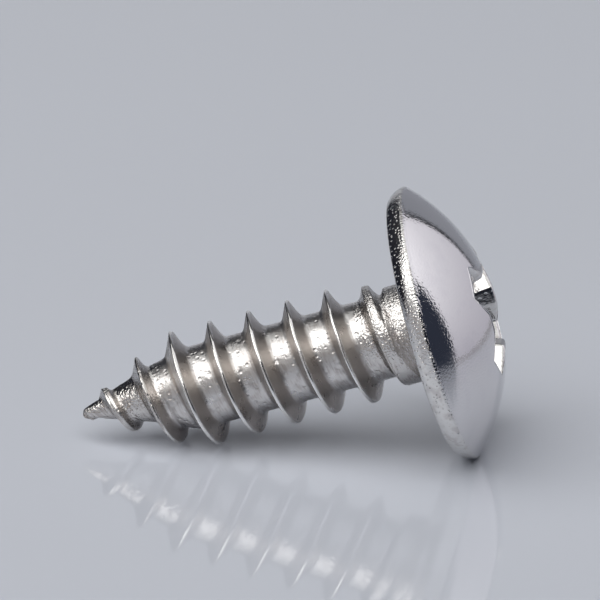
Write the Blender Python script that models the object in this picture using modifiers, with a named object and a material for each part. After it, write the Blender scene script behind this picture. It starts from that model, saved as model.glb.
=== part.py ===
"""Self-tapping screw with a wide domed head, a cross recess and a sharp point.

One piece of steel wire: the head is cold forged, the recess is punched, and
the thread is rolled onto the shank, which leaves a short plain neck. The screw
lies on its side on a table, on the rim of its head and the thread by its point.

The screw is modelled upright, with its axis on Z, the point at the bottom and
the face that bears on the work at Z = 0. It is then laid down. Metres.
"""

import math

import bmesh
import bpy
from mathutils import Matrix, Vector

MM = 0.001

# Thread and point
THREAD_DIAMETER = 4.2 * MM
CORE_DIAMETER = 2.86 * MM
THREAD_PITCH = 1.4 * MM
THREAD_HALF_ANGLE = math.radians(24.5)
CREST_FLAT = 0.08 * MM
SHANK_LENGTH = 12.3 * MM
CORE_TAPER_LENGTH = 3.9 * MM
CREST_TAPER_LENGTH = 3.65 * MM
POINT_DIAMETER = 0.24 * MM
POINT_EDGE_RADIUS = 0.08 * MM
POINT_CREST_DIAMETER = 0.4 * MM
THREAD_START_TO_POINT = 0.4 * MM
LEAD_IN_TURNS = 0.45

# Plain neck and the place where the thread runs out into it
NECK_DIAMETER = 3.3 * MM
NECK_LENGTH = 1.0 * MM
NECK_SHOULDER = 0.12 * MM
NECK_FILLET = 0.3 * MM
FULL_THREAD_TO_HEAD = 2.2 * MM
RUN_OUT_PITCH = 1.25 * MM

# Head
HEAD_DIAMETER = 9.62 * MM
HEAD_HEIGHT = 2.63 * MM
RIM_HEIGHT = 0.6 * MM
RIM_LEAN = 0.31 * MM
RIM_BULGE = 0.07 * MM
RIM_EDGE_RADIUS = 0.12 * MM
BEARING_EDGE_RADIUS = 0.16 * MM

# Cross recess
RECESS_DIAMETER = 4.4 * MM
RECESS_DEPTH = 2.2 * MM
RECESS_WALL_ANGLE = math.radians(26.5)
WING_WIDTH = 1.25 * MM
WING_FLOOR_WIDTH = 0.85 * MM
WING_ROOT_CHAMFER = 0.45 * MM
RECESS_FLOOR_SLOPE = math.radians(28)

# Turns about the axis, from where the full thread ends: of the recess, and of
# the whole screw once it lies down
RECESS_TURN = math.radians(44)
ROLL = math.radians(3)

# How far a joined shape reaches inside what carries it, the least radius that
# its foot may have there, and how far a cutter reaches past what it cuts
BURIAL = 0.1 * MM
INNERMOST_FOOT = 0.06 * MM
CUTTER_OVERRUN = 0.5 * MM

# The run-out, by turns past the end of the full thread: the diameter of the
# crest, and how far its flat top reaches towards the point and towards the head
RUN_OUT = (
    (0, THREAD_DIAMETER, CREST_FLAT / 2, CREST_FLAT / 2),
    (0.5, 3.7 * MM, 0.11 * MM, 0.16 * MM),
    (0.75, 3.67 * MM, 0.07 * MM, 0.39 * MM),
    (1, 3.64 * MM, CREST_FLAT / 2, 0.86 * MM),
    (1.35, NECK_DIAMETER - 2 * BURIAL, CREST_FLAT / 2, 1.2 * MM),
)

# Steel of the whole screw
STEEL_COLOUR = (0.66, 0.65, 0.64, 1)
STEEL_ROUGHNESS = 0.2

# Facets
FACETS = 60
DOME_STEPS = 11
RIM_STEPS = 4
CORNER_STEPS = 3
MERGE_DISTANCE = 0.0005 * MM
SMOOTH_SHADING_ANGLE = math.radians(30)

# Times that the range of possible resting tilts is halved
TILT_HALVINGS = 40


def clear_scene():
    for item in list(bpy.data.objects):
        bpy.data.objects.remove(item, do_unlink=True)


def new_collection(name):
    collection = bpy.data.collections.new(name)
    bpy.context.scene.collection.children.link(collection)
    return collection


def steel():
    material = bpy.data.materials.new("bright_steel")
    material.use_nodes = True
    shader = material.node_tree.nodes["Principled BSDF"]
    shader.inputs["Base Color"].default_value = STEEL_COLOUR
    shader.inputs["Metallic"].default_value = 1
    shader.inputs["Roughness"].default_value = STEEL_ROUGHNESS
    return material


def core_radius(height):
    """Radius of the shank between the threads, at a height along the axis."""
    above_point = height + SHANK_LENGTH
    share = min(max(above_point / CORE_TAPER_LENGTH, 0), 1)
    return (POINT_DIAMETER + share * (CORE_DIAMETER - POINT_DIAMETER)) / 2


def rounded_corner(before, corner, after, radius):
    """Arc that rounds a corner of the outline between two straight runs."""
    towards_before = (before - corner).normalized()
    towards_after = (after - corner).normalized()
    half_angle = towards_before.angle(towards_after) / 2
    setback = radius / math.tan(half_angle)
    start = corner + towards_before * setback
    end = corner + towards_after * setback
    middle_direction = (towards_before + towards_after).normalized()
    centre = corner + middle_direction * radius / math.sin(half_angle)
    sweep = (end - centre).angle_signed(start - centre)
    arc = []
    for step in range(CORNER_STEPS + 1):
        turn = Matrix.Rotation(sweep * step / CORNER_STEPS, 2)
        arc.append(centre + turn @ (start - centre))
    return arc


def bulged_side(top, bottom):
    """Points between two corners of the outline, on the arc of the swollen rim."""
    chord = bottom - top
    radius = (chord.length_squared / 4 + RIM_BULGE**2) / (2 * RIM_BULGE)
    outwards = Vector((-chord.y, chord.x)).normalized()
    centre = (top + bottom) / 2 - outwards * (radius - RIM_BULGE)
    half_sweep = math.asin(chord.length / 2 / radius)
    points = []
    for step in range(1, RIM_STEPS):
        turn = Matrix.Rotation(half_sweep * (1 - 2 * step / RIM_STEPS), 2)
        points.append(centre + turn @ (outwards * radius))
    return points


def dome_radius():
    rise = HEAD_HEIGHT - RIM_HEIGHT
    return ((HEAD_DIAMETER / 2) ** 2 + rise**2) / (2 * rise)


def dome_height(radius):
    """Height of the domed face at a distance from the axis."""
    return HEAD_HEIGHT - dome_radius() + math.sqrt(dome_radius() ** 2 - radius**2)


def turned_outline():
    """Half outline of the screw without its thread, from dome to point."""
    rim_angle = math.asin(HEAD_DIAMETER / 2 / dome_radius())
    dome = []
    for step in range(DOME_STEPS):
        radius = dome_radius() * math.sin(rim_angle * step / DOME_STEPS)
        dome.append(Vector((radius, dome_height(radius))))
    rim_top = Vector((HEAD_DIAMETER / 2, RIM_HEIGHT))
    rim_bottom = Vector((HEAD_DIAMETER / 2 - RIM_LEAN, 0))
    neck_top = Vector((NECK_DIAMETER / 2, 0))
    neck_bottom = Vector((NECK_DIAMETER / 2, -NECK_LENGTH))
    core_top = Vector((CORE_DIAMETER / 2, -NECK_LENGTH - NECK_SHOULDER))
    core_bottom = Vector((CORE_DIAMETER / 2, CORE_TAPER_LENGTH - SHANK_LENGTH))
    point_edge = Vector((POINT_DIAMETER / 2, -SHANK_LENGTH))
    point = Vector((0, -SHANK_LENGTH))
    rim = bulged_side(rim_top, rim_bottom)
    outline = dome
    outline += rounded_corner(dome[-1], rim_top, rim[0], RIM_EDGE_RADIUS)
    outline += rim
    outline += rounded_corner(rim[-1], rim_bottom, neck_top, BEARING_EDGE_RADIUS)
    outline += rounded_corner(rim_bottom, neck_top, neck_bottom, NECK_FILLET)
    outline += [neck_bottom, core_top, core_bottom]
    outline += rounded_corner(core_bottom, point_edge, point, POINT_EDGE_RADIUS)
    outline.append(point)
    return outline


def turned_blank(collection):
    """Head, neck, core and point, turned from the half outline."""
    mesh = bpy.data.meshes.new("turned_blank")
    outline = turned_outline()
    corners = [(corner.x, 0, corner.y) for corner in outline]
    links = [(index, index + 1) for index in range(len(corners) - 1)]
    mesh.from_pydata(corners, links, [])
    blank = bpy.data.objects.new("turned_blank", mesh)
    collection.objects.link(blank)
    screw = blank.modifiers.new("Turn", "SCREW")
    screw.steps = FACETS
    screw.render_steps = FACETS
    screw.use_merge_vertices = True
    screw.merge_threshold = MERGE_DISTANCE
    return blank


def run_out_section(turns):
    """Crest radius and the two reaches of its flat top, part of the way out."""
    for before, after in zip(RUN_OUT, RUN_OUT[1:]):
        if turns <= after[0]:
            break
    share = (turns - before[0]) / (after[0] - before[0])
    values = [low + (high - low) * share for low, high in zip(before[1:], after[1:])]
    diameter, towards_point, towards_head = values
    return diameter / 2, towards_point, towards_head


def thread_sections():
    """Height, crest radius and reaches of the flat crest, from point to neck."""
    step_rise = THREAD_PITCH / FACETS
    start = -SHANK_LENGTH + THREAD_START_TO_POINT
    full_steps = int((-FULL_THREAD_TO_HEAD - start) / step_rise)
    run_out_steps = int(RUN_OUT[-1][0] * FACETS)
    taper_rise = (THREAD_DIAMETER - POINT_CREST_DIAMETER) / 2 / CREST_TAPER_LENGTH
    sections = []
    for step in range(-full_steps, 1):
        height = -FULL_THREAD_TO_HEAD + step * step_rise
        taper = POINT_CREST_DIAMETER / 2 + (height + SHANK_LENGTH) * taper_rise
        crest = min(THREAD_DIAMETER / 2, taper)
        lead_in = min((step + full_steps) / (LEAD_IN_TURNS * FACETS), 1)
        crest = core_radius(height) * (1 - lead_in) + crest * lead_in
        sections.append((step, height, crest, CREST_FLAT / 2, CREST_FLAT / 2))
    for step in range(1, run_out_steps + 1):
        height = -FULL_THREAD_TO_HEAD + step * RUN_OUT_PITCH / FACETS
        sections.append((step, height, *run_out_section(step / FACETS)))
    return sections


def thread_ridge(collection):
    """Rolled thread: a four-sided section swept round the core, right handed."""
    solid = bmesh.new()
    rings = []
    for step, height, crest, towards_point, towards_head in thread_sections():
        lower_foot_height = height - THREAD_PITCH / 4
        foot = max(core_radius(lower_foot_height) - BURIAL, INNERMOST_FOOT)
        slope_width = (crest - foot) * math.tan(THREAD_HALF_ANGLE)
        corners = (
            (foot, -towards_point - slope_width),
            (crest, -towards_point),
            (crest, towards_head),
            (foot, towards_head + slope_width),
        )
        angle = 2 * math.pi * step / FACETS
        turn = Matrix.Rotation(angle, 3, "Z")
        ring = []
        for radius, rise in corners:
            ring.append(solid.verts.new(turn @ Vector((radius, 0, height + rise))))
        rings.append(ring)
    for ring, following in zip(rings, rings[1:]):
        for side in range(4):
            beside = (side + 1) % 4
            solid.faces.new(
                (ring[side], ring[beside], following[beside], following[side])
            )
    solid.faces.new(rings[0])
    solid.faces.new(rings[-1])
    bmesh.ops.recalc_face_normals(solid, faces=solid.faces)
    return tool_object("thread_ridge", solid, collection)


def cross_outline(reach, width):
    """Plus-shaped outline, with its inner corners cut off."""
    half = width / 2
    root = half + WING_ROOT_CHAMFER
    quarter = [
        Vector((reach, -half)),
        Vector((reach, half)),
        Vector((root, half)),
        Vector((half, root)),
    ]
    outline = []
    for wing in range(4):
        turn = Matrix.Rotation(RECESS_TURN + wing * math.pi / 2, 2)
        outline += [turn @ corner for corner in quarter]
    return outline


def recess_cutter(collection):
    """Punch for the cross recess: four wings that taper to a shallow cone."""
    mouth_height = dome_height(RECESS_DIAMETER / 2)
    floor_height = HEAD_HEIGHT - RECESS_DEPTH
    top_height = HEAD_HEIGHT + CUTTER_OVERRUN
    wall = math.tan(RECESS_WALL_ANGLE)
    cone = math.tan(RECESS_FLOOR_SLOPE)
    pointed_reach = RECESS_DIAMETER / 2 - (mouth_height - floor_height) * wall
    floor_reach = pointed_reach / (1 - cone * wall)
    ring_height = floor_height + floor_reach * cone
    narrowing = (WING_WIDTH - WING_FLOOR_WIDTH) / (mouth_height - ring_height)
    top_reach = RECESS_DIAMETER / 2 + (top_height - mouth_height) * wall
    top_width = WING_WIDTH + (top_height - mouth_height) * narrowing
    solid = bmesh.new()
    rings = []
    for reach, width, height in (
        (top_reach, top_width, top_height),
        (floor_reach, WING_FLOOR_WIDTH, ring_height),
    ):
        outline = cross_outline(reach, width)
        rings.append([solid.verts.new((*corner, height)) for corner in outline])
    tip = solid.verts.new((0, 0, floor_height))
    count = len(rings[0])
    solid.faces.new(rings[0])
    for index in range(count):
        beside = (index + 1) % count
        solid.faces.new((rings[0][index], rings[1][index], rings[1][beside], rings[0][beside]))
        solid.faces.new((rings[1][index], tip, rings[1][beside]))
    bmesh.ops.recalc_face_normals(solid, faces=solid.faces)
    return tool_object("recess_punch", solid, collection)


def tool_object(name, solid, collection):
    """Mesh that shapes the screw and is not a part of its own."""
    mesh = bpy.data.meshes.new(name)
    solid.to_mesh(mesh)
    solid.free()
    tool = bpy.data.objects.new(name, mesh)
    collection.objects.link(tool)
    return tool


def add_boolean(target, name, operation, tool):
    modifier = target.modifiers.new(name, "BOOLEAN")
    modifier.operation = operation
    modifier.solver = "EXACT"
    modifier.object = tool


def lowest(corners, tilt):
    """Lowest of some corners once the screw is laid down to a tilt."""
    return min(corner.z * math.sin(tilt) - corner.x * math.cos(tilt) for corner in corners)


def resting_tilt(mesh):
    """Rise of the axis at which the rim and the thread touch the table together."""
    head = [vertex.co for vertex in mesh.vertices if vertex.co.z > 0]
    shank = [vertex.co for vertex in mesh.vertices if vertex.co.z < -NECK_LENGTH]
    low, high = 0, math.pi / 2
    for _ in range(TILT_HALVINGS):
        tilt = (low + high) / 2
        if lowest(head, tilt) < lowest(shank, tilt):
            low = tilt
        else:
            high = tilt
    return tilt


def lay_down(screw):
    """Lay the screw on its side, its point towards -X, centred on the origin."""
    mesh = screw.data
    mesh.transform(Matrix.Rotation(ROLL, 4, "Z"))
    mesh.transform(Matrix.Rotation(math.pi / 2 - resting_tilt(mesh), 4, "Y"))
    for axis, anchor in ((0, 0.5), (1, 0.5), (2, 0)):
        places = [vertex.co[axis] for vertex in mesh.vertices]
        low, high = min(places), max(places)
        screw.location[axis] = -low - anchor * (high - low)


def build_screw():
    clear_scene()
    parts = new_collection("self_tapping_screw")
    tools = new_collection("shaping_tools")
    blank = turned_blank(tools)
    add_boolean(blank, "Roll thread", "UNION", thread_ridge(tools))
    add_boolean(blank, "Punch recess", "DIFFERENCE", recess_cutter(tools))
    bpy.context.view_layer.update()
    evaluated = blank.evaluated_get(bpy.context.evaluated_depsgraph_get())
    mesh = bpy.data.meshes.new_from_object(evaluated)
    mesh.name = "screw"
    for tool in tools.objects:
        tool.hide_render = True
        tool.display_type = "WIRE"
    cleaned = bmesh.new()
    cleaned.from_mesh(mesh)
    bmesh.ops.remove_doubles(cleaned, verts=cleaned.verts, dist=MERGE_DISTANCE)
    bmesh.ops.triangulate(cleaned, faces=cleaned.faces)
    cleaned.to_mesh(mesh)
    cleaned.free()
    mesh.materials.clear()
    mesh.materials.append(steel())
    mesh.shade_smooth()
    mesh.set_sharp_from_angle(angle=SMOOTH_SHADING_ANGLE)
    screw = bpy.data.objects.new("screw", mesh)
    parts.objects.link(screw)
    lay_down(screw)


build_screw()
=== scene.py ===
import math

import bmesh
import bpy
import numpy as np
from mathutils import Matrix, Vector, noise


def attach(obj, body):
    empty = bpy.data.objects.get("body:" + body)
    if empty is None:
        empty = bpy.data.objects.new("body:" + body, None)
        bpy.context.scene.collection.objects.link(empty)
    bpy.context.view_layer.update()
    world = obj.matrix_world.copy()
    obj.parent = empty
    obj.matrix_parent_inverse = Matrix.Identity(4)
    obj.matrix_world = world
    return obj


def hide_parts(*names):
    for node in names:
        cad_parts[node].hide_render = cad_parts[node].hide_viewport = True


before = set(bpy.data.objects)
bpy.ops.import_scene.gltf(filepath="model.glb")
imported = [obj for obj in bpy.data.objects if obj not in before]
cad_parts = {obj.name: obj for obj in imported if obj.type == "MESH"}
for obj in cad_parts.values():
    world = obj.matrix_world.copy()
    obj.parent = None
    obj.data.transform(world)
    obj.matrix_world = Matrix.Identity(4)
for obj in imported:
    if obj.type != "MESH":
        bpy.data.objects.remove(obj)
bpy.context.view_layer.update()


# Shank and thread
# The real screw is one piece of carbon steel wire. Two flat dies roll the thread and pinch the point, which
# pushes the steel up into a sharp ridge. Upright here, in millimetres, with the axis on Z and the bearing
# face at Z = 0.
MM = 0.001
THREAD_PITCH = 1.4
THREAD_RADIUS = 2.1
THREAD_HALF_ANGLE = math.radians(24.5)
CREST_FLAT = 0.1
CREST_ROUNDING = 0.005
CREST_BEVEL_WIDTH = 0.05
CREST_BEVEL_SLOPE = 0.58
CORE_RADIUS = 1.43
HEAD_SIDE_FILLET = 0.3
POINT_SIDE_FILLET = 0.18
SHANK_LENGTH = 12.3
CORE_TAPER_LENGTH = 3.9
CREST_TAPER_LENGTH = 3.65
POINT_RADIUS = 0.12
POINT_NOSE_RADIUS = 0.13
POINT_CREST_RADIUS = 0.2
THREAD_START_TO_POINT = 0.4
LEAD_IN_TURNS = 0.45
BLUNT_REACH = 0.055
BLUNT_UNTIL_TURN = -5.7
BLUNT_FADE_TURNS = 0.75
NECK_RADIUS = 1.65
NECK_LENGTH = 1.0
NECK_SHOULDER = 0.16
NECK_JOIN = -0.32
FULL_THREAD_TO_HEAD = 2.2
RUN_OUT_PITCH = 1.25
# By turns past the full thread: the crest's radius, and the reach of its flat top towards point and head
RUN_OUT = (
    (0, THREAD_RADIUS, CREST_FLAT / 2, CREST_FLAT / 2),
    (0.5, 1.84, 0.11, 0.16),
    (0.75, 1.835, 0.07, 0.39),
    (1, 1.785, CREST_FLAT / 2, 0.86),
    (1.35, 1.55, CREST_FLAT / 2, 1.2),
)
RUN_OUT_FADE = (0.45, 0.75)
RUN_OUT_SLOPE = 0.55
ROLL = math.radians(3)

STEPS_ROUND = 208
CREST_CELLS = 3
FLANK_CELLS = 9
ROOT_CELLS = 14
SPARE_TURNS_AT_POINT = 1.2
SPARE_TURNS_AT_NECK = 0.1


def smooth_step(value):
    value = np.clip(value, 0, 1)
    return value * value * (3 - 2 * value)


def smooth_max(first, second, blend):
    """The larger of two heights, with a fillet where they meet."""
    share = np.clip(0.5 + 0.5 * (first - second) / blend, 0, 1)
    return second + (first - second) * share + blend * share * (1 - share)


def core_radius(along):
    """Radius of the shank between the threads, down to the rounded point."""
    rise = along + SHANK_LENGTH
    cone = POINT_RADIUS + np.clip(rise / CORE_TAPER_LENGTH, 0, 1) * (CORE_RADIUS - POINT_RADIUS)
    neck = smooth_step((along + NECK_LENGTH + NECK_SHOULDER) / NECK_SHOULDER)
    nose_rise = np.clip(rise, 0, POINT_NOSE_RADIUS)
    nose = np.sqrt(nose_rise * (2 * POINT_NOSE_RADIUS - nose_rise))
    nose = np.where(rise < POINT_NOSE_RADIUS, nose, np.inf)
    return np.minimum(cone + neck * (NECK_RADIUS - CORE_RADIUS), nose)


def crest_height(turns):
    """Height of the thread's crest, by turns from where the full thread ends."""
    return -FULL_THREAD_TO_HEAD + turns * np.where(turns < 0, THREAD_PITCH, RUN_OUT_PITCH)


def crest_radius(turns):
    height = crest_height(turns)
    rise = (THREAD_RADIUS - POINT_CREST_RADIUS) / CREST_TAPER_LENGTH
    taper = POINT_CREST_RADIUS + (height + SHANK_LENGTH) * rise
    start = (FULL_THREAD_TO_HEAD - SHANK_LENGTH + THREAD_START_TO_POINT) / THREAD_PITCH
    lead_in = np.clip((turns - start) / LEAD_IN_TURNS, 0, 1)
    crest = np.minimum(THREAD_RADIUS, taper) * lead_in + core_radius(height) * (1 - lead_in)
    return np.where(turns > 0, run_out(turns, 1), crest)


def run_out(turns, column):
    table = np.array(RUN_OUT)
    return np.interp(turns, table[:, 0], table[:, column])


def blunt_reach(turns):
    """Extra width of the crest beside the point, where the dies leave the thread blunt."""
    past_blunt_turns = turns - BLUNT_UNTIL_TURN + BLUNT_FADE_TURNS
    return BLUNT_REACH * (1 - smooth_step(past_blunt_turns / BLUNT_FADE_TURNS))


def towards_point(turns):
    return run_out(turns, 2) + blunt_reach(turns)


def towards_head(turns):
    return run_out(turns, 3) + blunt_reach(turns)


def ridge_radius(along, turns):
    """Radius of the thread's ridge beside the crest at that turn."""
    rise = along - crest_height(turns)
    fall = np.maximum(-rise - towards_point(turns), 0) / math.tan(THREAD_HALF_ANGLE)
    head_fall = np.interp(turns, RUN_OUT_FADE, (1 / math.tan(THREAD_HALF_ANGLE), RUN_OUT_SLOPE))
    fall += np.maximum(rise - towards_head(turns), 0) * head_fall
    rounding = CREST_ROUNDING * np.clip(2 * np.abs(rise) / CREST_FLAT, 0, 1) ** 2
    past_bevel_start = rise - towards_head(turns) + CREST_BEVEL_WIDTH
    bevel = CREST_BEVEL_SLOPE * np.clip(past_bevel_start, 0, CREST_BEVEL_WIDTH)
    return crest_radius(turns) - fall - rounding - bevel


def place_along(low, high, cells):
    """Even stations from low up to just before high, one row for each angle."""
    shares = np.arange(cells) / cells
    return low[:, None] + (high - low)[:, None] * shares[None, :]


turns_to_point = (SHANK_LENGTH - FULL_THREAD_TO_HEAD) / THREAD_PITCH + SPARE_TURNS_AT_POINT
turns_to_neck = (FULL_THREAD_TO_HEAD + NECK_JOIN) / RUN_OUT_PITCH + SPARE_TURNS_AT_NECK
first_step = -math.ceil(turns_to_point) * STEPS_ROUND
last_step = math.ceil(turns_to_neck) * STEPS_ROUND
turns = np.arange(first_step, last_step) / STEPS_ROUND
lower, upper = crest_height(turns), crest_height(turns + 1)
lower_edge = lower + towards_head(turns)
upper_edge = upper - towards_point(turns + 1)
half_slope = math.tan(THREAD_HALF_ANGLE)
middle_core = core_radius((lower + upper) / 2)
lower_foot = lower_edge + np.maximum(crest_radius(turns) - middle_core, 0) * half_slope
upper_foot = upper_edge - np.maximum(crest_radius(turns + 1) - middle_core, 0) * half_slope
crossed = lower_foot > upper_foot
lower_foot = np.where(crossed, (lower_foot + upper_foot) / 2, lower_foot)
upper_foot = np.where(crossed, lower_foot, upper_foot)
along = np.concatenate(
    [
        place_along(lower, lower_edge, CREST_CELLS),
        place_along(lower_edge, lower_foot, FLANK_CELLS),
        place_along(lower_foot, upper_foot, ROOT_CELLS),
        place_along(upper_foot, upper_edge, FLANK_CELLS),
        place_along(upper_edge, upper, CREST_CELLS),
    ],
    axis=1,
)
rows, columns = along.shape
turn_grid = np.repeat(turns[:, None], columns, axis=1)
across = along - lower[:, None]
crest_distance = np.minimum(across, upper[:, None] - along)
inside = (along > -SHANK_LENGTH) & (along < NECK_JOIN)
along = np.clip(along, -SHANK_LENGTH, NECK_JOIN)
head_side = smooth_max(ridge_radius(along, turn_grid), core_radius(along), HEAD_SIDE_FILLET)
radius = smooth_max(head_side, ridge_radius(along, turn_grid + 1), POINT_SIDE_FILLET)
radius = np.where(inside, radius, core_radius(along))


# Marks of the dies on the thread
# The dies slide a little as they roll, so the steel is scored along the thread. Scale pressed in by them
# leaves pits, and the neck and the point, which the dies hardly support, are torn and rough.
SCORE_DEPTH = 0.007
MOTTLE_DEPTH = 0.0035
NECK_TEAR_DEPTH = 0.02
POINT_TEAR_DEPTH = 0.013
CREST_WAVE = 0.012

# Each kind of mark: its length along the roll, its width across it and its own layer of noise
FINE_SCORES = (0.32, 0.05, 11.3)
LONG_SCORES = (1.1, 0.09, 23.7)
SCORED_PATCHES = (0.8, 0.35, 37.1)
MOTTLE = (0.09, 0.07, 41.9)
TEARS = (0.2, 0.075, 53.3)
SMALL_TEARS = (0.08, 0.06, 67.7)
TORN_RIDGES = (1.4, 0.08, 71.3)
CREST_WAVES = (0.6, 5, 83.1)

# How much of each mark there is, as shares
FINE_SCORE_SHARE = 0.6
PATCH_LEVEL = 0.42
PATCH_CONTRAST = 1.1
SCORES_BETWEEN_PATCHES = 0.25
EXTRA_SCORES_AT_POINT = 1.2
SMALL_TEAR_SHARE = 0.7
NECK_TEAR_SHARE = 0.6
NECK_RIDGE_SHARE = 0.5
TEARS_LOST_AT_CREST = 0.6

# Where the marks lie, from the bearing face, the crest or an end, and over what length they fade
NECK_TEAR_START = 2.2
NECK_TEAR_FADE = 0.4
LOWER_SIDE_TEAR = 0.12
UPPER_SIDE_SPREAD = 1.15
POINT_TEAR_START = 8.6
POINT_TEAR_FADE = 1.6
CREST_HALF_WIDTH = 0.02
CREST_FADE = 0.1
LEAST_RISE_OF_ROLL = 0.3
RELIEF_FADE_AT_NECK = 0.12
RELIEF_FADE_AT_POINT = 0.05

PIT_COUNT = 330
PIT_ACROSS = (0.28, 1.15)
PIT_RADIUS = (0.035, 0.085)
PIT_LENGTH_TO_WIDTH = (1.0, 2.4)
PIT_DEPTH_TO_RADIUS = 0.17
PIT_REACH_IN_RADII = 4
PIT_SPARE_ROWS = 2
PIT_LIP_HEIGHT = 0.45
PIT_LIP_PLACE = 1.35
PIT_LIP_WIDTH = 0.35
PIT_SEED = 7
BURR_ALONG = -12.02
BURR_ANGLE = math.radians(-18)
BURR_HEIGHT = 0.05
BURR_SPREAD = 0.05

roll_height = np.clip(lower, LEAST_RISE_OF_ROLL - SHANK_LENGTH, NECK_JOIN)
roll_radius = np.minimum(core_radius(roll_height), CORE_RADIUS)
step_lengths = 2 * math.pi / STEPS_ROUND * roll_radius
arc = np.repeat(np.cumsum(step_lengths)[:, None], columns, axis=1)
angle = 2 * math.pi * turn_grid + ROLL
upper_side = 0.5 - 0.5 * np.cos(angle)
neck_side = LOWER_SIDE_TEAR + (1 - LOWER_SIDE_TEAR) * smooth_step(upper_side * UPPER_SIDE_SPREAD)
neck_share = smooth_step((along + NECK_TEAR_START) / NECK_TEAR_FADE) * neck_side
point_share = smooth_step((-along - POINT_TEAR_START) / POINT_TEAR_FADE)
crest_share = 1 - smooth_step((crest_distance - CREST_HALF_WIDTH) / CREST_FADE)


def marks_of(kind, beside):
    """Smooth noise from about -1 to 1, stretched along the roll to one kind of mark."""
    length, width, layer = kind
    places = zip((arc / length).ravel().tolist(), (beside / width).ravel().tolist())
    values = [noise.noise(Vector((forward, sideways, layer))) for forward, sideways in places]
    return np.array(values).reshape(arc.shape)


scores = FINE_SCORE_SHARE * marks_of(FINE_SCORES, across)
scores += (1 - FINE_SCORE_SHARE) * marks_of(LONG_SCORES, across)
patches = smooth_step(PATCH_LEVEL + PATCH_CONTRAST * marks_of(SCORED_PATCHES, across))
tears = marks_of(TEARS, along) + SMALL_TEAR_SHARE * marks_of(SMALL_TEARS, along)
scored_share = SCORES_BETWEEN_PATCHES + (1 - SCORES_BETWEEN_PATCHES) * patches
relief = SCORE_DEPTH * scores * scored_share * (1 + EXTRA_SCORES_AT_POINT * point_share)
relief += MOTTLE_DEPTH * marks_of(MOTTLE, across) * patches
relief *= 1 - crest_share
neck_tears = NECK_TEAR_SHARE * tears + NECK_RIDGE_SHARE * marks_of(TORN_RIDGES, along)
relief += neck_share * NECK_TEAR_DEPTH * neck_tears
relief += point_share * POINT_TEAR_DEPTH * tears * (1 - TEARS_LOST_AT_CREST * crest_share)
relief += CREST_WAVE * crest_share * marks_of(CREST_WAVES, along)

pit_maker = np.random.default_rng(PIT_SEED)
for _ in range(PIT_COUNT):
    pit_row = pit_maker.integers(0, rows)
    pit_across = pit_maker.uniform(*PIT_ACROSS)
    pit_radius = pit_maker.uniform(*PIT_RADIUS)
    pit_length = pit_maker.uniform(*PIT_LENGTH_TO_WIDTH)
    reach = int(PIT_REACH_IN_RADII * pit_radius * pit_length / step_lengths[pit_row]) + PIT_SPARE_ROWS
    near = slice(max(pit_row - reach, 0), min(pit_row + reach, rows))
    arc_away = (arc[near] - arc[pit_row, 0]) / (pit_radius * pit_length)
    across_away = (across[near] - pit_across) / pit_radius
    away = np.hypot(arc_away, across_away)
    lip = PIT_LIP_HEIGHT * np.exp(-(((away - PIT_LIP_PLACE) / PIT_LIP_WIDTH) ** 2))
    pit = PIT_DEPTH_TO_RADIUS * pit_radius * (lip - np.exp(-(away**2)))
    relief[near] += pit * (1 - crest_share[near])

burr_turn = (angle - BURR_ANGLE + math.pi) % (2 * math.pi) - math.pi
burr_away = np.hypot(burr_turn * core_radius(BURR_ALONG), along - BURR_ALONG) / BURR_SPREAD
relief += BURR_HEIGHT * np.exp(-(burr_away**2))
relief *= smooth_step((NECK_JOIN - along) / RELIEF_FADE_AT_NECK)
relief *= smooth_step((along + SHANK_LENGTH) / RELIEF_FADE_AT_POINT)
radius = np.where(inside, radius + relief, radius)

shank_points = np.stack([radius * np.cos(angle), radius * np.sin(angle), along], axis=-1).reshape(-1, 3)
shank_rolling = np.stack([arc, across, np.zeros_like(arc)], axis=-1).reshape(-1, 3)

# How rough each place is left, where the flanks get painted shade, and which finish each face gets
POINT_GRAIN = 0.8
CREST_GRAIN = 0.15
LAND_GRAIN = 0.25
LEAST_RIDGE_HEIGHT = 0.1
PAINTED_SHADE_START = 0.02
PAINTED_SHADE_START_FADE = 0.16
PAINTED_SHADE_END = 0.86
PAINTED_SHADE_END_FADE = 0.1
TORN_NECK_SHARE = 0.12
TORN_POINT_SHARE = 0.55
CREST_RUBBED_UNTIL_TURN = 0.3
FINISH_THREAD, FINISH_RIM, FINISH_DOME, FINISH_RECESS, FINISH_CREST, FINISH_TORN = range(6)

crest_grain = CREST_GRAIN + (1 - CREST_GRAIN) * neck_share
land_grain = LAND_GRAIN + (1 - LAND_GRAIN) * np.maximum(neck_share, POINT_GRAIN * point_share)
shank_grain = np.where(crest_share > 0.5, crest_grain, land_grain).ravel()
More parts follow.
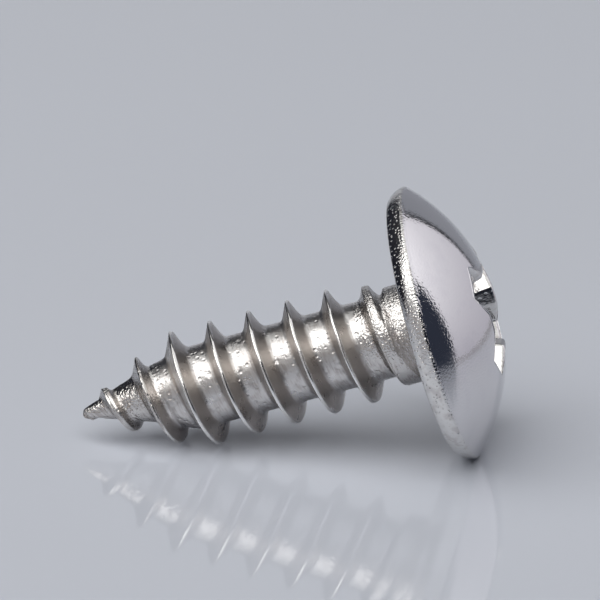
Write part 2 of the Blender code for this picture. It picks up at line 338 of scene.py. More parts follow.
# Painted shade: this mask darkens the colour of the thread's flanks, from just above the root to just below
# the crest, and not at the neck.
bare_core = core_radius(along)
ridge_height = np.maximum(crest_radius(turn_grid) - bare_core, LEAST_RIDGE_HEIGHT)
ridge_share = (radius - bare_core) / ridge_height
shank_painted_shade = smooth_step((ridge_share - PAINTED_SHADE_START) / PAINTED_SHADE_START_FADE)
shank_painted_shade *= 1 - smooth_step((ridge_share - PAINTED_SHADE_END) / PAINTED_SHADE_END_FADE)
shank_painted_shade = (shank_painted_shade * (1 - neck_share)).ravel()
torn = (neck_share > TORN_NECK_SHARE) | (point_share > TORN_POINT_SHARE)
shank_faces = []
shank_finish = []
for row in range(rows - 1):
    for cell in range(columns):
        beside_row = row if cell < columns - 1 else row + STEPS_ROUND
        beside_cell = (cell + 1) % columns
        if beside_row + 1 >= rows:
            continue
        shank_faces.append(
            (
                row * columns + cell,
                (row + 1) * columns + cell,
                (beside_row + 1) * columns + beside_cell,
                beside_row * columns + beside_cell,
            )
        )
        if torn[row, cell]:
            shank_finish.append(FINISH_TORN)
        elif turns[row] < CREST_RUBBED_UNTIL_TURN and not CREST_CELLS <= cell < columns - CREST_CELLS:
            shank_finish.append(FINISH_CREST)
        else:
            shank_finish.append(FINISH_THREAD)


# Head
# Two blows of a header upset the wire's end into a wide dome, and the last one drives the cross-shaped
# punch in. The die polishes the dome, the rim swells freely and stays grainy, and the recess keeps the
# punch's flat walls.
HEAD_RADIUS = 4.81
RIM_LEAN = 0.31
HEAD_HEIGHT = 2.63
RIM_HEIGHT = 0.6
RIM_BULGE = 0.07
RIM_EDGE_RADIUS = 0.14
BEARING_EDGE_RADIUS = 0.16
NECK_FILLET = 0.3
RECESS_REACH = 2.2
RECESS_DEPTH = 2.2
RECESS_WALL_ANGLE = math.radians(26.5)
WING_WIDTH = 1.25
WING_FLOOR_WIDTH = 0.85
WING_ROOT_CHAMFER = 0.45
WING_CORNER_RADIUS = 0.06
RECESS_FLOOR_SLOPE = math.radians(28)
RECESS_TURN = math.radians(44)
RECESS_RING_RADIUS = 2.9
MOUTH_ROUNDING = 0.16
OUTLINE_GAP = 0.02

NECK_FILLET_CELLS = 7
EDGE_CELLS = 6
UNDERSIDE_CELLS = 14
RIM_CELLS = 14
DOME_CELLS = 26
MOUTH_RINGS = 10
ROUNDING_RINGS = 5
WALL_RINGS = 9
FLOOR_RINGS = 6
MOUTH_FITTING_STEPS = 12
# Half a wing's cells make an eighth of the cross, which has as many points as a ring has steps
WING_END_CELLS = 6
WING_CORNER_CELLS = 2
WING_SIDE_CELLS = 15
WING_ROOT_CELLS = 3

dome_rise = HEAD_HEIGHT - RIM_HEIGHT
DOME_RADIUS = (HEAD_RADIUS**2 + dome_rise**2) / (2 * dome_rise)


def dome_height(ring_radius):
    return HEAD_HEIGHT - DOME_RADIUS + np.sqrt(DOME_RADIUS**2 - ring_radius**2)


def rounded_corner(before, corner, after, corner_radius, cells):
    """Arc that rounds a corner of the head's outline."""
    towards_before = (Vector(before) - Vector(corner)).normalized()
    towards_after = (Vector(after) - Vector(corner)).normalized()
    half_angle = towards_before.angle(towards_after) / 2
    start = Vector(corner) + towards_before * corner_radius / math.tan(half_angle)
    end = Vector(corner) + towards_after * corner_radius / math.tan(half_angle)
    middle = (towards_before + towards_after).normalized()
    centre = Vector(corner) + middle * corner_radius / math.sin(half_angle)
    sweep = (end - centre).angle_signed(start - centre)
    return [
        tuple(centre + Matrix.Rotation(sweep * step / cells, 2) @ (start - centre))
        for step in range(cells + 1)
    ]


def straight(start, end, cells):
    """Points between two corners of the outline, both left out."""
    return [
        (start[0] + (end[0] - start[0]) * step / cells, start[1] + (end[1] - start[1]) * step / cells)
        for step in range(1, cells)
    ]


def bulged(low, high, bulge, cells):
    """Points between two corners of the outline, on an arc that swells outwards."""
    chord = Vector(high) - Vector(low)
    arc_radius = (chord.length_squared / 4 + bulge**2) / (2 * bulge)
    outwards = Vector((chord.y, -chord.x)).normalized()
    centre = (Vector(low) + Vector(high)) / 2 - outwards * (arc_radius - bulge)
    half_sweep = math.asin(chord.length / 2 / arc_radius)
    return [
        tuple(centre + Matrix.Rotation(half_sweep * (2 * step / cells - 1), 2) @ (outwards * arc_radius))
        for step in range(1, cells)
    ]


neck_foot = (NECK_RADIUS, NECK_JOIN)
neck_top = (NECK_RADIUS, 0.0)
rim_foot = (HEAD_RADIUS - RIM_LEAN, 0.0)
rim_top = (HEAD_RADIUS, RIM_HEIGHT)
dome_start = (HEAD_RADIUS - OUTLINE_GAP, float(dome_height(HEAD_RADIUS - OUTLINE_GAP)))
rim_side = bulged(rim_foot, rim_top, RIM_BULGE, RIM_CELLS)
fillet_arc = rounded_corner(neck_foot, neck_top, rim_foot, NECK_FILLET, NECK_FILLET_CELLS)
bearing_arc = rounded_corner(neck_top, rim_foot, rim_side[0], BEARING_EDGE_RADIUS, EDGE_CELLS)
rim_arc = rounded_corner(rim_side[-1], rim_top, dome_start, RIM_EDGE_RADIUS, EDGE_CELLS)
outline = [neck_foot, *fillet_arc]
outline += straight(fillet_arc[-1], bearing_arc[0], UNDERSIDE_CELLS)
underside_end = len(outline)
outline += bearing_arc
rim_low = bearing_arc[-1][1] + OUTLINE_GAP
rim_high = rim_arc[0][1] - OUTLINE_GAP
outline += [point for point in rim_side if rim_low < point[1] < rim_high]
outline += rim_arc
rim_end = len(outline) - 1
for step in range(1, DOME_CELLS + 1):
    ring_radius = rim_arc[-1][0] + (RECESS_RING_RADIUS - rim_arc[-1][0]) * step / DOME_CELLS
    outline.append((ring_radius, float(dome_height(ring_radius))))

ring_angles = 2 * math.pi * np.arange(STEPS_ROUND) / STEPS_ROUND
ring_directions = np.stack([np.cos(ring_angles), np.sin(ring_angles)], axis=-1)
rings = [np.column_stack([ring_directions * r, np.full(STEPS_ROUND, h)]) for r, h in outline]


def cross_outline(reach, width):
    """The cross at one depth, point by point for the same steps round as the rings."""
    half, corner = width / 2, WING_CORNER_RADIUS
    quarter = []
    for step in range(WING_END_CELLS):
        quarter.append((reach, (half - corner) * step / WING_END_CELLS))
    for step in range(WING_CORNER_CELLS + 1):
        turn = math.pi / 2 * step / WING_CORNER_CELLS
        quarter.append((reach - corner + corner * math.cos(turn), half - corner + corner * math.sin(turn)))
    side_start, side_end = reach - corner, half + WING_ROOT_CHAMFER
    for step in range(1, WING_SIDE_CELLS + 1):
        quarter.append((side_start + (side_end - side_start) * step / WING_SIDE_CELLS, half))
    root_middle = half + WING_ROOT_CHAMFER / 2
    for step in range(1, WING_ROOT_CELLS + 1):
        share = step / WING_ROOT_CELLS
        quarter.append((side_end + (root_middle - side_end) * share, half + (root_middle - half) * share))
    mirrored = [(y, x) for x, y in reversed(quarter[1:-1])]
    full_quarter = quarter + mirrored
    points = []
    for wing in range(4):
        turn = Matrix.Rotation(RECESS_TURN + wing * math.pi / 2, 2)
        points += [turn @ Vector(point) for point in full_quarter]
    return np.array(points)


wall_slope = math.tan(RECESS_WALL_ANGLE)
floor_slope = math.tan(RECESS_FLOOR_SLOPE)
mouth_height = float(dome_height(RECESS_REACH))
punch_tip = np.array([0, 0, HEAD_HEIGHT - RECESS_DEPTH])
pointed_reach = RECESS_REACH - (mouth_height - punch_tip[2]) * wall_slope
floor_reach = pointed_reach / (1 - floor_slope * wall_slope)
floor_height = punch_tip[2] + floor_reach * floor_slope

# The cross starts at the ring's step that lies nearest to its first wing.
first_wing_step = round(RECESS_TURN / (2 * math.pi) * STEPS_ROUND)
mouth_shape = np.roll(cross_outline(RECESS_REACH, WING_WIDTH), first_wing_step, axis=0)
floor_shape = np.roll(cross_outline(floor_reach, WING_FLOOR_WIDTH), first_wing_step, axis=0)


def wall_at(height):
    share = (height - floor_height) / (mouth_height - floor_height)
    flat = floor_shape + (mouth_shape - floor_shape) * np.asarray(share).reshape(-1, 1)
    return np.column_stack([flat, np.broadcast_to(height, len(flat))])


mouth = wall_at(np.full(STEPS_ROUND, mouth_height))
for _ in range(MOUTH_FITTING_STEPS):
    mouth = wall_at(dome_height(np.hypot(mouth[:, 0], mouth[:, 1])))
outer_ring = rings[-1]
for step in range(1, MOUTH_RINGS + 1):
    flat = outer_ring[:, :2] + (mouth[:, :2] - outer_ring[:, :2]) * step / (MOUTH_RINGS + 1)
    rings.append(np.column_stack([flat, dome_height(np.hypot(flat[:, 0], flat[:, 1]))]))
away = rings[-1][:, :2] - mouth[:, :2]
away /= np.linalg.norm(away, axis=1)[:, None]
dome_side = mouth[:, :2] + away * MOUTH_ROUNDING
dome_side = np.column_stack([dome_side, dome_height(np.hypot(dome_side[:, 0], dome_side[:, 1]))])
wall_side = wall_at(mouth[:, 2] - MOUTH_ROUNDING)
dome_end = len(rings)
for step in range(ROUNDING_RINGS + 1):
    share = step / ROUNDING_RINGS
    rings.append(dome_side * (1 - share) ** 2 + mouth * 2 * share * (1 - share) + wall_side * share**2)
for step in range(1, WALL_RINGS + 1):
    share = step / WALL_RINGS
    rings.append(wall_at(wall_side[:, 2] * (1 - share) + floor_height * share))
floor_ring = rings[-1]
for step in range(1, FLOOR_RINGS):
    rings.append(floor_ring + (punch_tip - floor_ring) * step / FLOOR_RINGS)

head_points = np.concatenate(rings)
rolled_over = np.array([[math.cos(ROLL), math.sin(ROLL)], [-math.sin(ROLL), math.cos(ROLL)]])
head_points[:, :2] = head_points[:, :2] @ rolled_over
head_faces = []
for ring in range(len(rings) - 1):
    for step in range(STEPS_ROUND):
        beside = (step + 1) % STEPS_ROUND
        head_faces.append(
            (
                ring * STEPS_ROUND + step,
                ring * STEPS_ROUND + beside,
                (ring + 1) * STEPS_ROUND + beside,
                (ring + 1) * STEPS_ROUND + step,
            )
        )
tip_index = len(head_points)
head_points = np.vstack([head_points, punch_tip])
last_ring = (len(rings) - 1) * STEPS_ROUND
for step in range(STEPS_ROUND):
    head_faces.append((last_ring + step, last_ring + (step + 1) % STEPS_ROUND, tip_index))
ring_finish = np.full(len(rings), FINISH_RECESS)
ring_finish[:dome_end] = FINISH_DOME
ring_finish[:rim_end] = FINISH_RIM
ring_finish[:underside_end] = FINISH_THREAD
head_finish = np.repeat(ring_finish, STEPS_ROUND).tolist()

# The rim is left grainy, apart from a band that the die rubs. The edge of the dome is a little rougher than
# its top.
DOME_GRAIN = 0.14
OUTER_DOME_GRAIN = 0.1
OUTER_DOME_START = 3.9
OUTER_DOME_FADE = 0.6
RIM_GRAIN = 0.76
RIM_GRAIN_START = 4.7
RIM_GRAIN_FADE = 0.07
RUBBED_BAND_START = 0.28
RUBBED_BAND_START_FADE = 0.08
RUBBED_BAND_END = 0.5
RUBBED_BAND_END_FADE = 0.06
GRAIN_LOST_IN_BAND = 0.55
UNDERSIDE_GRAIN = 0.6
UNDERSIDE_TOP = 0.05

from_axis = np.hypot(head_points[:, 0], head_points[:, 1])
above_bearing_face = head_points[:, 2]
rubbed_band = smooth_step((above_bearing_face - RUBBED_BAND_START) / RUBBED_BAND_START_FADE)
rubbed_band -= smooth_step((above_bearing_face - RUBBED_BAND_END) / RUBBED_BAND_END_FADE)
outer_dome = smooth_step((from_axis - OUTER_DOME_START) / OUTER_DOME_FADE)
head_grain = DOME_GRAIN + OUTER_DOME_GRAIN * outer_dome
rim_grain = RIM_GRAIN * smooth_step((from_axis - RIM_GRAIN_START) / RIM_GRAIN_FADE)
head_grain += rim_grain * (1 - GRAIN_LOST_IN_BAND * rubbed_band)
head_grain = np.where(above_bearing_face < UNDERSIDE_TOP, UNDERSIDE_GRAIN, head_grain)
head_rolling = head_points.copy()
head_painted_shade = np.zeros(len(head_points))


# The whole screw, laid on its side
# It rests on the rim of the head and on the first full turn of thread, with the point towards the left. The
# dies pinched the point off a little above the axis.
RESTING_TILT = math.radians(17.036292)
RESTING_PLACE = (4.4866, 0.0, 4.4388)
MERGE_DISTANCE = 0.0002
POINT_OFFSET = 0.13
POINT_OFFSET_START = -8.5
POINT_OFFSET_END = -10.0

points = np.vstack([shank_points, head_points])
off_axis = smooth_step((POINT_OFFSET_START - points[:, 2]) / (POINT_OFFSET_START - POINT_OFFSET_END))
points[:, 0] -= POINT_OFFSET * off_axis
faces = shank_faces + [tuple(index + len(shank_points) for index in face) for face in head_faces]
mesh = bpy.data.meshes.new("screw_steel")
mesh.from_pydata((points * MM).tolist(), [], faces)
mesh.polygons.foreach_set("material_index", shank_finish + head_finish)
grain = mesh.attributes.new("grain", "FLOAT", "POINT")
grain.data.foreach_set("value", np.concatenate([shank_grain, head_grain]))
# The mask of painted shade on the flanks goes with the mesh as an attribute.
painted_flank_shade = mesh.attributes.new("painted_flank_shade", "FLOAT", "POINT")
painted_flank_shade.data.foreach_set("value", np.concatenate([shank_painted_shade, head_painted_shade]))
rolling = mesh.attributes.new("rolling", "FLOAT_VECTOR", "POINT")
rolling.data.foreach_set("vector", np.vstack([shank_rolling, head_rolling]).ravel())
lay = Matrix.Translation([value * MM for value in RESTING_PLACE])
lay = lay @ Matrix.Rotation(math.pi / 2 - RESTING_TILT, 4, "Y")
mesh.transform(lay)
cleaned = bmesh.new()
cleaned.from_mesh(mesh)
bmesh.ops.remove_doubles(cleaned, verts=cleaned.verts, dist=MERGE_DISTANCE * MM)
loose = [vertex for vertex in cleaned.verts if not vertex.link_faces]
bmesh.ops.delete(cleaned, geom=loose, context="VERTS")
bmesh.ops.recalc_face_normals(cleaned, faces=cleaned.faces)
cleaned.to_mesh(mesh)
cleaned.free()
mesh.shade_smooth()
screw = bpy.data.objects.new("screw_steel", mesh)
bpy.context.scene.collection.objects.link(screw)


# Finish of the steel
# The whole screw is bare steel with a bright nickel-like finish. What differs by place is how smooth each
# tool left it: the dies on the thread, its crest and the torn ends, the header on the rim and the dome, and
# the punch in the recess.
GRAIN_DETAIL = 1
SCORE_DETAIL = 1.5
BLOTCH_DETAIL = 4
BLOTCHES_PER_MM = 2.2
BLOTCH_RANGE = (0.35, 0.65)
STAIN_RANGE = (0.22, 0.38)
PIT_EDGE = (0.12, 0.34)
PITS_ON_FLANKS = 0.15


def steel_finish(name, colours, roughness, grain, scores, pits, streaks):
    """Steel with grain, scores along the roll, pits, and streaks along the axis.

    The colours are those of the clean steel, of its stains and of the painted shade on the thread's flanks.
    Grain and pits each have a size and a height in millimetres. Scores have their number in a millimetre
    each way, and a height.
    """
    material = bpy.data.materials.new(name)
    material.use_nodes = True
    nodes, links = material.node_tree.nodes, material.node_tree.links
    shader = nodes["Principled BSDF"]
    shader.inputs["Metallic"].default_value = 1
    place = nodes.new("ShaderNodeTexCoord").outputs["Object"]

    def attribute_of(name, output):
        node = nodes.new("ShaderNodeAttribute")
        node.attribute_name = name
        return node.outputs[output]

    def noise_of(vector, scale, detail):
        node = nodes.new("ShaderNodeTexNoise")
        node.inputs["Scale"].default_value = scale
        node.inputs["Detail"].default_value = detail
        links.new(vector, node.inputs["Vector"])
        return node.outputs["Fac"]

    def bump_of(height, distance, under=None):
        node = nodes.new("ShaderNodeBump")
        node.inputs["Distance"].default_value = distance * MM
        links.new(height, node.inputs["Height"])
        if under:
            links.new(under, node.inputs["Normal"])
        return node.outputs["Normal"]

    def ramp_of(value, low, high, low_result=0, high_result=1):
        node = nodes.new("ShaderNodeMapRange")
        node.interpolation_type = "SMOOTHSTEP"
        node.inputs["From Min"].default_value = low
        node.inputs["From Max"].default_value = high
        node.inputs["To Min"].default_value = low_result
        node.inputs["To Max"].default_value = high_result
        links.new(value, node.inputs["Value"])
        return node.outputs["Result"]

    def product_of(first, second):
        node = nodes.new("ShaderNodeMath")
        node.operation = "MULTIPLY"
        links.new(first, node.inputs[0])
        links.new(second, node.inputs[1])
        return node.outputs["Value"]

    def blend_of(share, colour):
        node = nodes.new("ShaderNodeMix")
        node.data_type = "RGBA"
        node.inputs["B"].default_value = (*colour, 1)
        links.new(share, node.inputs["Factor"])
        return node

    grain_size, grain_height = grain
    grain_noise = noise_of(place, 1 / (grain_size * MM), GRAIN_DETAIL)
    relief = bump_of(product_of(grain_noise, attribute_of("grain", "Fac")), grain_height)

    score_stretch, score_height = scores
    stretch = nodes.new("ShaderNodeVectorMath")
    stretch.operation = "MULTIPLY"
    stretch.inputs[1].default_value = score_stretch
    links.new(attribute_of("rolling", "Vector"), stretch.inputs[0])
    scored = noise_of(stretch.outputs["Vector"], 1, SCORE_DETAIL)
    relief = bump_of(scored, score_height, relief)

    pit_spacing, pit_depth = pits
    painted_flank_shade = attribute_of("painted_flank_shade", "Fac")
    cells = nodes.new("ShaderNodeTexVoronoi")
    cells.inputs["Scale"].default_value = 1 / (pit_spacing * MM)
    links.new(place, cells.inputs["Vector"])
    pit_shape = ramp_of(cells.outputs["Distance"], *PIT_EDGE)
    pitted = product_of(pit_shape, ramp_of(painted_flank_shade, 0, 1, 1, PITS_ON_FLANKS))
    relief = bump_of(pitted, pit_depth, relief)
    links.new(relief, shader.inputs["Normal"])

    shader.inputs["Anisotropic"].default_value = streaks
    if streaks:
        axis = nodes.new("ShaderNodeCombineXYZ")
        axis.inputs["X"].default_value = math.cos(RESTING_TILT)
        axis.inputs["Z"].default_value = math.sin(RESTING_TILT)
        links.new(axis.outputs["Vector"], shader.inputs["Tangent"])

    clean, stained, painted_shade_colour = colours
    blotches = noise_of(place, BLOTCHES_PER_MM / MM, BLOTCH_DETAIL)
    body = blend_of(ramp_of(product_of(blotches, scored), *STAIN_RANGE), stained)
    body.inputs["A"].default_value = (*clean, 1)
    # Painted shade: the third colour darkens the flanks wherever the mask says so.
    colour = blend_of(painted_flank_shade, painted_shade_colour)
    links.new(body.outputs["Result"], colour.inputs["A"])
    links.new(colour.outputs["Result"], shader.inputs["Base Color"])
    links.new(ramp_of(blotches, *BLOTCH_RANGE, *roughness), shader.inputs["Roughness"])
    return material


# Each finish gives clean steel, stains and the painted shade of the thread's flanks, in that order.
PUNCHED_COLOURS = ((0.70, 0.69, 0.68), (0.58, 0.56, 0.55), (0.58, 0.56, 0.55))
rolled_steel = steel_finish(
    "rolled_steel",
    colours=((0.66, 0.645, 0.635), (0.54, 0.51, 0.495), (0.46, 0.425, 0.40)),
    roughness=(0.27, 0.38),
    grain=(0.075, 0.032),
    scores=((2.5, 14, 1), 0.008),
    pits=(0.24, 0.014),
    streaks=0.9,
)
grainy_rim_steel = steel_finish(
    "grainy_rim_steel",
    colours=PUNCHED_COLOURS,
    roughness=(0.06, 0.12),
    grain=(0.075, 0.028),
    scores=((4, 4, 4), 0.002),
    pits=(0.13, 0.016),
    streaks=0,
)
polished_dome_steel = steel_finish(
    "polished_dome_steel",
    colours=((0.69, 0.68, 0.69), (0.67, 0.66, 0.675), (0.67, 0.66, 0.675)),
    roughness=(0.05, 0.09),
    grain=(0.075, 0.018),
    scores=((1, 1, 1), 0.001),
    pits=(0.35, 0.0002),
    streaks=0,
)
punched_recess_steel = steel_finish(
    "punched_recess_steel",
    colours=PUNCHED_COLOURS,
    roughness=(0.1, 0.18),
    grain=(0.1, 0.012),
    scores=((9, 9, 3), 0.004),
    pits=(0.25, 0.003),
    streaks=0,
)
rubbed_crest_steel = steel_finish(
    "rubbed_crest_steel",
    colours=((0.82, 0.81, 0.795), (0.72, 0.70, 0.68), (0.60, 0.57, 0.55)),
    roughness=(0.05, 0.1),
    grain=(0.075, 0.008),
    scores=((2.5, 14, 1), 0.002),
    pits=(0.24, 0.0005),
    streaks=0,
)
torn_steel = steel_finish(
    "torn_steel",
    colours=((0.62, 0.605, 0.59), (0.46, 0.43, 0.415), (0.46, 0.43, 0.41)),
    roughness=(0.12, 0.24),
    grain=(0.08, 0.036),
    scores=((3, 12, 1), 0.014),
    pits=(0.2, 0.012),
    streaks=0.3,
)
finish_by_slot = {
    FINISH_THREAD: rolled_steel,
    FINISH_RIM: grainy_rim_steel,
    FINISH_DOME: polished_dome_steel,
    FINISH_RECESS: punched_recess_steel,
    FINISH_CREST: rubbed_crest_steel,
    FINISH_TORN: torn_steel,
}
for slot in sorted(finish_by_slot):
    mesh.materials.append(finish_by_slot[slot])
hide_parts("screw")
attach(screw, "root")


# Floor
# A pale sheet of glossy plastic on a table. It is smooth enough to show a faint mirror image of the screw,
# and it isn't part of the screw.
FLOOR_SIZE = 3.0
FLOOR_COLOUR = (0.59, 0.627, 0.71, 1)
FLOOR_ROUGHNESS = 0.025
FLOOR_GLOSS = 0.5


def rectangle(width, depth):
    """Corners of a level rectangle round the middle, anticlockwise from the near left one."""
    right, back = width / 2, depth / 2
    return [(-right, -back), (right, -back), (right, back), (-right, back)]


floor_mesh = bpy.data.meshes.new("floor")
floor_mesh.from_pydata([(x, y, 0) for x, y in rectangle(FLOOR_SIZE, FLOOR_SIZE)], [], [(0, 1, 2, 3)])
floor = bpy.data.objects.new("floor", floor_mesh)
bpy.context.scene.collection.objects.link(floor)
floor_sheet = bpy.data.materials.new("floor_sheet")
floor_sheet.use_nodes = True
floor_shader = floor_sheet.node_tree.nodes["Principled BSDF"]
floor_shader.inputs["Base Color"].default_value = FLOOR_COLOUR
floor_shader.inputs["Roughness"].default_value = FLOOR_ROUGHNESS
floor_shader.inputs["Specular IOR Level"].default_value = FLOOR_GLOSS
floor_mesh.materials.append(floor_sheet)


# Light
# One soft box high on the left lights the floor, and a bright cloth shows in the metal above and in front.
# White, grey and dark cards stand round the screw and give the metal its lights and darks. A pale card
# hangs over it, and a dark room closes them all in.
SOFT_BOX_SIZE = (1.2, 0.8)
SOFT_BOX_DISTANCE = 0.6
LAMP_AZIMUTH = math.radians(-35)
LAMP_ELEVATION = math.radians(64)
LAMP_RADIANCE = 2.09
LAMP_COLOUR = (1, 0.98, 0.95)
CLOTH_AZIMUTH = math.radians(-25)
CLOTH_ELEVATION = math.radians(50)


def direction(azimuth, elevation):
    """Direction from the screw, by the angle from the camera's side towards the head."""
    level = math.cos(elevation)
    return Vector((math.sin(azimuth) * level, -math.cos(azimuth) * level, math.sin(elevation)))


def turned_to_screw(place):
    return (-place).to_track_quat("-Z", "Y").to_euler()


soft_box = bpy.data.lights.new("soft_box", "AREA")
soft_box.shape = "RECTANGLE"
soft_box.color = LAMP_COLOUR
soft_box.size, soft_box.size_y = SOFT_BOX_SIZE
soft_box.energy = LAMP_RADIANCE * math.pi * SOFT_BOX_SIZE[0] * SOFT_BOX_SIZE[1]
soft_box_object = bpy.data.objects.new("soft_box", soft_box)
soft_box_object.location = direction(LAMP_AZIMUTH, LAMP_ELEVATION) * SOFT_BOX_DISTANCE
soft_box_object.rotation_euler = turned_to_screw(soft_box_object.location)
soft_box_object.visible_glossy = False
bpy.context.scene.collection.objects.link(soft_box_object)


def reflected_card(name, corners, axis, stops):
    """Card of plain light that only reflections show. Its brightness changes along one axis of its box."""
    card_mesh = bpy.data.meshes.new(name)
    faces = [tuple(range(first, first + 4)) for first in range(0, len(corners), 4)]
    card_mesh.from_pydata(corners, [], faces)
    card = bpy.data.objects.new(name, card_mesh)
    bpy.context.scene.collection.objects.link(card)
    paper = bpy.data.materials.new(name)
    paper.use_nodes = True
    nodes, links = paper.node_tree.nodes, paper.node_tree.links
    nodes.clear()
    place = nodes.new("ShaderNodeTexCoord")
    parts = nodes.new("ShaderNodeSeparateXYZ")
    fade = nodes.new("ShaderNodeValToRGB")
    while len(fade.color_ramp.elements) < len(stops):
        fade.color_ramp.elements.new(1)
    for element, (position, colour) in zip(fade.color_ramp.elements, stops):
        element.position = position
        element.color = (*colour, 1)
    glow = nodes.new("ShaderNodeEmission")
    output = nodes.new("ShaderNodeOutputMaterial")
    links.new(place.outputs["Generated"], parts.inputs["Vector"])
    links.new(parts.outputs[axis], fade.inputs["Fac"])
    links.new(fade.outputs["Color"], glow.inputs["Color"])
    links.new(glow.outputs["Emission"], output.inputs["Surface"])
    card_mesh.materials.append(paper)
    card.visible_camera = False
    card.visible_shadow = False
    card.visible_diffuse = False


cloth_middle = direction(CLOTH_AZIMUTH, CLOTH_ELEVATION) * SOFT_BOX_DISTANCE
cloth_turn = turned_to_screw(cloth_middle).to_matrix()
cloth_corners = [cloth_turn @ Vector((x, y, 0)) + cloth_middle for x, y in rectangle(*SOFT_BOX_SIZE)]
CLOTH_STOPS = (
    (0, (0.9, 0.89, 0.88)),
    (0.15, (1.8, 1.79, 1.76)),
    (0.4, (2.7, 2.68, 2.63)),
    (0.7, (2.7, 2.68, 2.63)),
    (1, (1.8, 1.79, 1.76)),
)
reflected_card("soft_box_cloth", cloth_corners, "Z", CLOTH_STOPS)

ROOM_SIZE = 2.6
ROOM_HEIGHT = 1.3
ROOM_LEVEL = (0.09, 0.09, 0.094)
wall_feet = rectangle(ROOM_SIZE, ROOM_SIZE)
room_corners = [(x, y, ROOM_HEIGHT) for x, y in wall_feet]
for (x, y), (next_x, next_y) in zip(wall_feet, wall_feet[1:] + wall_feet[:1]):
    room_corners += [(x, y, 0), (next_x, next_y, 0), (next_x, next_y, ROOM_HEIGHT), (x, y, ROOM_HEIGHT)]
reflected_card("dark_room", room_corners, "Z", ((0, ROOM_LEVEL), (1, ROOM_LEVEL)))

CEILING_CARD_HEIGHT = 0.8
CEILING_CARD_CORNERS = ((-0.5, -0.7), (0.95, -0.7), (0.95, 0.5), (-0.5, 0.5))
CEILING_LEVEL = (0.95, 0.95, 0.94)
ceiling_corners = [(x, y, CEILING_CARD_HEIGHT) for x, y in CEILING_CARD_CORNERS]
reflected_card("ceiling_card", ceiling_corners, "X", ((0, CEILING_LEVEL), (1, CEILING_LEVEL)))

NEAR_BLACK = (0.012, 0.014, 0.022)
UPPER_DARK = (0.065, 0.065, 0.07)
NAVY = (0.032, 0.038, 0.057)
GAP_DARK = (0.06, 0.062, 0.07)
HEAD_FOOT = Vector((0.0065, 0, 0))

# Each standing card: the azimuths of its ends in degrees, their distances from the foot of the head, its
# height, and its colours at the foot and at the top
STANDING_CARDS = {
    "white_card": ((94.5, 150), (0.0724, 0.041), 0.07, (0.53, 0.52, 0.58), (1.27, 1.25, 1.30)),
    # The thin dark strip at the white card's foot is painted shadow, where that card meets the floor.
    "painted_card_foot_shadow": ((94.5, 150), (0.0715, 0.0404), 0.0009, (0.32, 0.31, 0.33), (0.38, 0.37, 0.39)),
    "black_card_front": ((6, 67), (0.024, 0.024), 0.026, NEAR_BLACK, NEAR_BLACK),
    "black_card_right": ((66, 95), (0.12, 0.12), 0.09, NAVY, NAVY),
    "black_card_left": ((-80, -157), (0.1, 0.1), 0.11, NEAR_BLACK, UPPER_DARK),
    "dark_gap_card": ((149, 155), (0.4, 0.4), 0.3, GAP_DARK, GAP_DARK),
    "far_grey_card": ((152.6, 176), (0.38, 0.38), 0.29, (0.29, 0.30, 0.335), (0.28, 0.29, 0.325)),
    "back_grey_card": ((175, 204), (0.5, 0.5), 0.38, (0.51, 0.52, 0.555), (0.20, 0.205, 0.22)),
    "near_grey_card": ((-79, 60), (0.3, 0.3), 0.075, (0.35, 0.34, 0.345), (0.64, 0.63, 0.63)),
}
for card_name, (azimuths, distances, height, foot_colour, top_colour) in STANDING_CARDS.items():
    start, end = [
        HEAD_FOOT + direction(math.radians(turn), 0) * away
        for turn, away in zip(azimuths, distances)
    ]
    rise = Vector((0, 0, height))
    corners = [start, end, end + rise, start + rise]
    reflected_card(card_name, corners, "Z", ((0, foot_colour), (1, top_colour)))

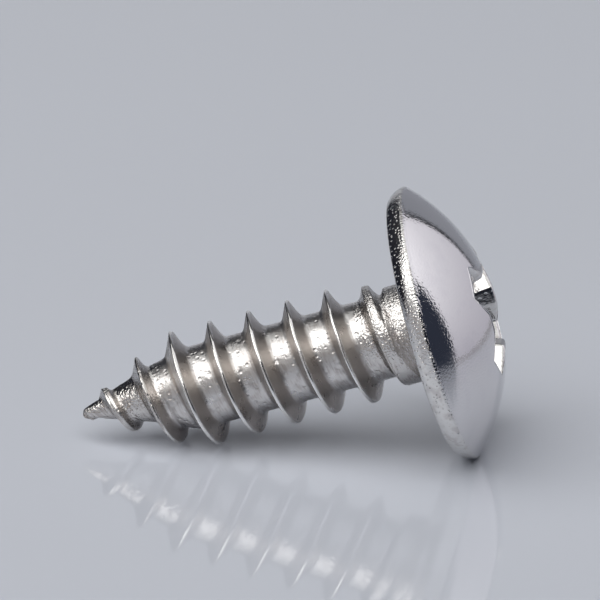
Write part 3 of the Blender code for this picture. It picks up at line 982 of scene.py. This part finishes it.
# A camera, mirror or glass ray that meets nothing sees a pale backdrop. To any other ray it is nearly
# black, so it hardly lights the floor.
ROOM_COLOUR = (0.012, 0.012, 0.014, 1)
BACKGROUND_COLOUR = (0.46, 0.48, 0.52, 1)
world = bpy.data.worlds.new("studio")
bpy.context.scene.world = world
world.use_nodes = True
room = world.node_tree
room.nodes.clear()
room_light = room.nodes.new("ShaderNodeBackground")
room_light.inputs["Color"].default_value = ROOM_COLOUR
background = room.nodes.new("ShaderNodeBackground")
background.inputs["Color"].default_value = BACKGROUND_COLOUR
ray = room.nodes.new("ShaderNodeLightPath")
seen = room.nodes.new("ShaderNodeMath")
seen.operation = "ADD"
seen.use_clamp = True
seen_through = room.nodes.new("ShaderNodeMath")
seen_through.operation = "ADD"
seen_through.use_clamp = True
choose = room.nodes.new("ShaderNodeMixShader")
room_output = room.nodes.new("ShaderNodeOutputWorld")
room.links.new(ray.outputs["Is Camera Ray"], seen.inputs[0])
room.links.new(ray.outputs["Is Glossy Ray"], seen.inputs[1])
room.links.new(seen.outputs["Value"], seen_through.inputs[0])
room.links.new(ray.outputs["Is Transmission Ray"], seen_through.inputs[1])
room.links.new(seen_through.outputs["Value"], choose.inputs["Fac"])
room.links.new(room_light.outputs["Background"], choose.inputs[1])
room.links.new(background.outputs["Background"], choose.inputs[2])
room.links.new(choose.outputs["Shader"], room_output.inputs["Surface"])


# Camera
# It stands at the photograph's angle, 18 degrees above the floor. A long lens, about 16 centimetres away,
# gives the photograph's perspective.
CAMERA_PLACE = (0.011386, -0.146003, 0.053038)
CAMERA_FORWARD = (-0.072502, 0.947949, -0.310057)
FOCAL_LENGTH = 270
SENSOR_WIDTH = 36
NEAR_LIMIT = 0.01
camera = bpy.data.cameras.new("camera")
camera.lens = FOCAL_LENGTH
camera.sensor_width = SENSOR_WIDTH
camera.clip_start = NEAR_LIMIT
camera_object = bpy.data.objects.new("camera", camera)
camera_object.location = CAMERA_PLACE
camera_object.rotation_euler = Vector(CAMERA_FORWARD).to_track_quat("-Z", "Y").to_euler()
bpy.context.scene.collection.objects.link(camera_object)
bpy.context.scene.camera = camera_object
bpy.context.scene.view_settings.view_transform = "Standard"
